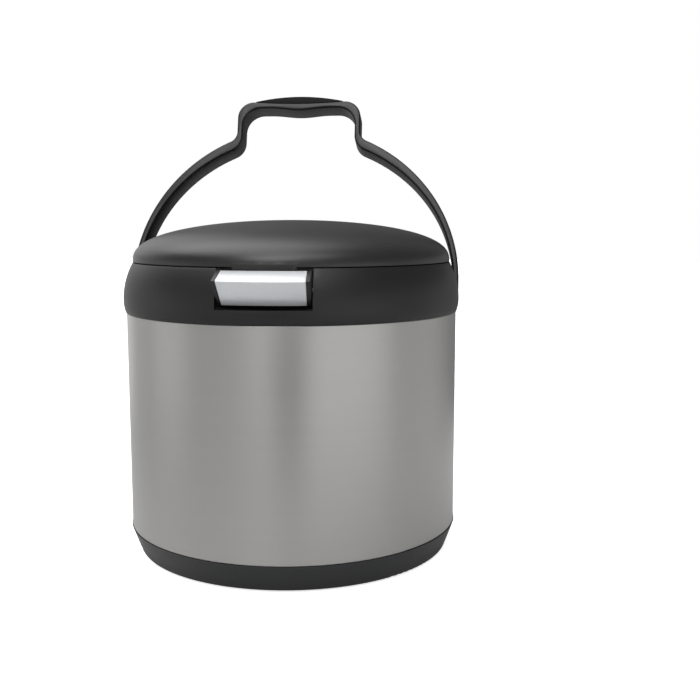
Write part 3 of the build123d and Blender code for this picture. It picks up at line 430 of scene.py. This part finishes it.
# Lamps as azimuth and elevation in degrees, the cosine at the soft edge, and strength
ROOM_LEVEL = 0.15
ROOM_LAMPS = (
    (-112, 68, 0.76, 2.8),  # large and soft, overhead to the left
    (4, 54, 0.83, 2.9),  # high in front
    (-132, 25, 0.8, 0.9),  # low, behind to the left
    (-10, 37, 0.94, 3.8),  # small, in front, for the handle's and button's edges
)
TENT_LEVEL = 0.6
TENT_LAMPS = (
    (42, 0, 0.8, 0.44), (-72, 0, 0.93, 0.25), (-140, 0, 0.88, 0.25),  # the steel's bright bands
    (6, 0, 0.96, -0.55), (170, 0, 0.4, -0.35),  # its dark band, and the dim back
)
CAMERA_PLACE = (0.1208, -0.7623, 0.2583)
CAMERA_TURN = (radians(82.43), 0, radians(5.6))
CAMERA_LENS, CAMERA_SENSOR = 49.5, 36.0


def studio_world():
    """White to the camera; to the object, a dim room with four soft lamps."""
    world = bpy.data.worlds.new("studio")
    world.use_nodes = True
    paint = Paint(world.node_tree)
    ray = paint.node("ShaderNodeTexCoord", output="Generated")
    room = paint.lights(ROOM_LEVEL, ray, ROOM_LAMPS)
    camera_ray = paint.node("ShaderNodeLightPath", output="Is Camera Ray")
    strength = (1 - camera_ray) * room + camera_ray
    back = paint.node("ShaderNodeBackground", None, {"Color": (1, 1, 1, 1), "Strength": strength})
    out = paint.tree.nodes.new("ShaderNodeOutputWorld")
    paint.tree.links.new(back.socket, out.inputs["Surface"])
    return world


class COOKER_OT_stage(bpy.types.Operator):
    """Adds the camera, the studio world, the pale floor and the light tent"""
    bl_idname = "cooker.stage"
    bl_label = "Stage"

    def execute(self, context):
        sizes, _ = settings()
        start_clean()
        bpy.ops.object.camera_add(location=CAMERA_PLACE, rotation=CAMERA_TURN)
        camera = context.object
        camera.data.lens = CAMERA_LENS
        camera.data.sensor_width = CAMERA_SENSOR
        camera.data.clip_start = 0.01
        context.scene.camera = camera
        context.scene.world = studio_world()
        start_clean()
        bpy.ops.mesh.primitive_plane_add(size=2 * sizes.floor_half, location=(0, 0, 0))
        floor = context.object
        floor.name = "floor"
        pale = Finish("pale floor")
        camera_ray = pale.node("ShaderNodeLightPath", output="Is Camera Ray")
        pale.set("Base Color", pale.mix(camera_ray, (0.46, 0.46, 0.46), (0.8, 0.8, 0.8)))
        pale.set("Roughness", 0.9)
        pale.set("Specular IOR Level", 0.1)
        pale.set("Emission Strength", 0.75)
        pale.set("Emission Color", camera_ray)
        floor.data.materials.append(pale.material)
        start_clean()
        bpy.ops.mesh.primitive_cylinder_add(
            vertices=96, radius=sizes.tent_radius, depth=sizes.tent_height, end_fill_type="NOTHING",
            location=(0, 0, sizes.tent_height / 2))
        tent = context.object
        tent.name = "light tent"
        tent.visible_camera = False
        tent.visible_shadow = False
        cloth = Finish("tent cloth")
        spot = cloth.node("ShaderNodeVectorMath", {"operation": "NORMALIZE"}, {0: cloth.place()})
        glow = cloth.lights(TENT_LEVEL, spot, TENT_LAMPS)
        cloth.set("Base Color", (0.0, 0.0, 0.0))
        cloth.set("Specular IOR Level", 0.0)
        cloth.set("Emission Strength", 1.0)
        cloth.set("Emission Color", glow)
        tent.data.materials.append(cloth.material)
        context.scene.view_settings.view_transform = "Standard"
        return {"FINISHED"}


class COOKER_OT_finishes(bpy.types.Operator):
    """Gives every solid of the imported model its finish"""
    bl_idname = "cooker.finishes"
    bl_label = "Finishes"

    def execute(self, context):
        _, colours = settings()
        make_finishes(colours)
        for name, solid in NODES.items():
            solid.data.materials.clear()
            solid.data.materials.append(bpy.data.materials[finish_name(SLOTS[name])])
        return {"FINISHED"}


class COOKER_OT_mouldings(bpy.types.Operator):
    """Gives the lid, collar and base mouldings their rounded edges"""
    bl_idname = "cooker.mouldings"
    bl_label = "Mouldings"

    def execute(self, context):
        sizes, _ = settings()
        softened("lid_cover", "lid_moulding", "lid", sizes.rim_round)
        softened("collar", "collar_moulding", "vessel", sizes.rim_round)
        softened("base_cover", "base_moulding", "vessel", sizes.rim_round)
        return {"FINISHED"}


HANDLE_LEAN = radians(15.5)
HANDLE_PIVOT = Vector((0.0, 11.0, 210.0)) * MM
HANDLE_FRONT = Vector((0.0, -cos(HANDLE_LEAN), sin(HANDLE_LEAN)))
STRAP_WIDTH = 20.0
# The strap's outer and inner lines, in millimetres, as arch_side takes them
OUTER = {"half": 132.0, "rise": 128.0, "grip_half": 50.8, "top": 149.5, "corner": 13.0, "neck": 9.0}
INNER = {"half": 127.5, "rise": 119.2, "grip_half": 46.3, "top": 144.2, "corner": 15.0, "neck": 13.5}
FOOT_ROUND = 9.7
SEAT_HALF, SEAT_DIP = 37.0, 1.6
WAVE_SPAN, WAVE_DIP = 50, 1.9
CROWN_HALF, CROWN_RISE = 37.2, 4.2
PAD_GAP, PAD_INSET = 0.1, 0.6
BORE_RADIUS, BUSH_RADIUS, BUSH_START = 4.65, 5.35, 129.9
SOCKET_RADIUS, SOCKET_START, SCREW_ROUND = 2.6, 130.6, 0.4


def on_handle(across, up, forward=0.0):
    """A point on the handle, from millimetres across, up from its pivots and towards the front."""
    rise = Vector((0.0, sin(HANDLE_LEAN), cos(HANDLE_LEAN)))
    return HANDLE_PIVOT + (Vector((across, 0, 0)) + rise * up + HANDLE_FRONT * forward) * MM


def arch_side(half, rise, grip_half, top, corner, neck):
    """One side of the handle's line, from the foot up to the crown's middle, in millimetres."""
    def beside(turn):
        out = Vector((cos(turn) / half, sin(turn) / rise)).normalized()
        return Vector((half * cos(turn), rise * sin(turn))) + out * neck

    low, high = radians(30), radians(89)
    for _ in range(50):
        turn = (low + high) / 2
        low, high = (turn, high) if beside(turn).x > grip_half + neck else (low, turn)
    centre = beside(low)
    foot = [Vector((half, -STRAP_WIDTH / 2))]
    arch = [Vector((half * cos(low * k / 40), rise * sin(low * k / 40))) for k in range(41)]
    start = atan2(arch[-1].y - centre.y, arch[-1].x - centre.x)
    bend = []
    for k in range(1, 11):
        turn = start + (-pi - start) * k / 10
        bend.append(centre + Vector((cos(turn), sin(turn))) * neck)
    crown = []
    for k in range(11):
        turn = pi / 2 * k / 10
        crown.append(Vector((grip_half - corner + corner * cos(turn), top - corner + corner * sin(turn))))
    return foot + arch + bend + crown


class COOKER_OT_handle(bpy.types.Operator):
    """Models the bail strap, its crowned grip pad and the sockets in its pivot screws"""
    bl_idname = "cooker.handle"
    bl_label = "Handle"

    def execute(self, context):
        sizes, _ = settings()
        outer = arch_side(**OUTER)
        inner = arch_side(**INNER)
        top, under_top = OUTER["top"], INNER["top"]
        seat = [Vector((x, top - SEAT_DIP * (1 - (x / SEAT_HALF) ** 2))) for x in range(35, -36, -5)]
        wave = [Vector((x, under_top - WAVE_DIP * cos(pi * x / WAVE_SPAN) ** 2)) for x in range(-24, 25, 2)]
        line = outer + seat + [Vector((-p.x, p.y)) for p in reversed(outer)]
        line += [Vector((-p.x, p.y)) for p in inner] + wave + list(reversed(inner))
        half = STRAP_WIDTH / 2
        strap = cut_plate(
            "bail_strap", [on_handle(p.x, p.y, -half) for p in line], HANDLE_FRONT * STRAP_WIDTH * MM)
        corners = [
            on_handle(side * x, -half, front) for side in (-1, 1) for x in (INNER["half"], OUTER["half"])
            for front in (-half, half)]
        bpy.ops.object.mode_set(mode="EDIT")
        bpy.ops.mesh.select_mode(type="EDGE")
        bpy.ops.mesh.select_all(action="DESELECT")
        bpy.ops.object.mode_set(mode="OBJECT")
        for edge in strap.data.edges:
            ends = [strap.data.vertices[index].co for index in edge.vertices]
            foot = all(min((end - corner).length for corner in corners) < 0.1 * MM for end in ends)
            edge.select = foot and abs((ends[0] - ends[1]).x) > 4 * MM
        bpy.ops.object.mode_set(mode="EDIT")
        bpy.ops.mesh.bevel(offset=FOOT_ROUND * MM, segments=10, affect="EDGES")
        bpy.ops.mesh.select_mode(type="VERT")
        bpy.ops.object.mode_set(mode="OBJECT")
        round_rim(strap, sizes.strap_round)
        for side in (-1, 1):
            drill(strap, on_handle(side * 124, 0), on_handle(side * 134, 0), BORE_RADIUS * MM)
            drill(strap, on_handle(side * BUSH_START, 0), on_handle(side * 134, 0), BUSH_RADIUS * MM)
        close_up(strap, "handle", "handle_bail")
        crown = [Vector((x, top + CROWN_RISE * (1 - (x / CROWN_HALF) ** 2))) for x in range(36, -37, -4)]
        seat_top = top + PAD_GAP
        under = [Vector((x, seat_top - SEAT_DIP * (1 - (x / SEAT_HALF) ** 2))) for x in range(-36, 37, 4)]
        half = STRAP_WIDTH / 2 - PAD_INSET
        pad = cut_plate(
            "grip_overmould", [on_handle(p.x, p.y, -half) for p in crown + under],
            HANDLE_FRONT * 2 * half * MM)
        round_rim(pad, sizes.pad_round)
        close_up(pad, "handle", "grip_pad")
        heads = softened("pivot_screws", "pivot_screw_heads", "vessel", SCREW_ROUND * MM)
        for side in (-1, 1):
            drill(heads, on_handle(side * SOCKET_START, 0), on_handle(side * 134, 0), SOCKET_RADIUS * MM, 6)
        return {"FINISHED"}


# The button cover, in millimetres: its side line as radius and height, and its half width at each height
BUTTON_TOP = Vector((128.3, 226.0))
BUTTON_CREASE = Vector((141.5, 219.6))
BUTTON_FOOT = Vector((128.1, 202.6))
BUTTON_SIDE = ((29.4, 226.0), (30.4, 219.6), (29.2, 202.6))
BUTTON_BEND, BUTTON_WALL, BUTTON_DROP = 1.6, 1.9, 0.1
BUTTON_SWEEP = radians(16)


def button_outline():
    """The button cover's side line as radius and height, its crease rounded, in millimetres."""
    top, crease, foot = BUTTON_TOP, BUTTON_CREASE, BUTTON_FOOT
    start = crease + (top - crease).normalized() * BUTTON_BEND
    end = crease + (foot - crease).normalized() * BUTTON_BEND
    turned = [start.lerp(crease, k / 6).lerp(crease.lerp(end, k / 6), k / 6) for k in range(7)]
    return [top, *turned, foot]


class COOKER_OT_latch(bpy.types.Operator):
    """Models the latch button's cover and rounds its lever's edges"""
    bl_idname = "cooker.latch"
    bl_label = "Latch"

    def execute(self, context):
        sizes, _ = settings()
        line = button_outline()
        back = [Vector((p.x - BUTTON_WALL, p.y - BUTTON_DROP)) for p in reversed(line)]
        turn = [(p.x * sin(BUTTON_SWEEP), -p.x * cos(BUTTON_SWEEP), p.y) for p in line + back]
        cover = draw_chain("button_cover", [Vector(p) * MM for p in turn])
        bpy.ops.mesh.select_all(action="SELECT")
        bpy.ops.mesh.edge_face_add()
        bpy.ops.mesh.spin(steps=64, angle=2 * BUTTON_SWEEP, center=(0, 0, 0), axis=(0, 0, 1))
        for side in (-1, 1):
            for (x0, z0), (x1, z1) in zip(BUTTON_SIDE, BUTTON_SIDE[1:]):
                bpy.ops.mesh.select_all(action="SELECT")
                out = Vector((side * (z0 - z1), 0, x1 - x0)).normalized()
                bpy.ops.mesh.bisect(
                    plane_co=(side * x0 * MM, 0, z0 * MM), plane_no=tuple(out), clear_outer=True,
                    use_fill=True)
        bpy.ops.mesh.select_all(action="SELECT")
        bpy.ops.mesh.remove_doubles(threshold=0.01 * MM)
        bpy.ops.mesh.normals_make_consistent(inside=False)
        bpy.ops.object.mode_set(mode="OBJECT")
        apply_modifier(
            cover, "BEVEL", width=sizes.button_round, segments=3, limit_method="ANGLE",
            angle_limit=radians(40), use_clamp_overlap=True)
        bpy.ops.object.shade_smooth_by_angle(angle=radians(35))
        close_up(cover, "latch", "latch_button")
        softened("latch_lever", "latch_cheeks", "latch", sizes.button_round / 2)
        return {"FINISHED"}


class COOKER_PT_panel(bpy.types.Panel):
    """Lists the cooker's settings and steps"""
    bl_idname = "COOKER_PT_panel"
    bl_label = "Thermal Cooker"
    bl_space_type = "VIEW_3D"
    bl_region_type = "UI"
    bl_category = "Cooker"

    def draw(self, context):
        for group in settings():
            for name in group.bl_rna.properties.keys():
                if name not in ("rna_type", "name"):
                    self.layout.prop(group, name)
        for step in STEPS:
            self.layout.operator(step.bl_idname)


STEPS = (COOKER_OT_stage, COOKER_OT_finishes, COOKER_OT_mouldings, COOKER_OT_handle, COOKER_OT_latch)
CLASSES = (CookerColours, CookerSizes, *STEPS, COOKER_PT_panel)


def register():
    for item in CLASSES:
        bpy.utils.register_class(item)
    bpy.types.Scene.cooker_sizes = PointerProperty(type=CookerSizes)
    bpy.types.Scene.cooker_colours = PointerProperty(type=CookerColours)


def unregister():
    del bpy.types.Scene.cooker_colours
    del bpy.types.Scene.cooker_sizes
    for item in reversed(CLASSES):
        bpy.utils.unregister_class(item)


def main():
    register()
    for step in STEPS:
        group, name = step.bl_idname.split(".")
        getattr(getattr(bpy.ops, group), name)()


if __name__ == "__main__":
    main()
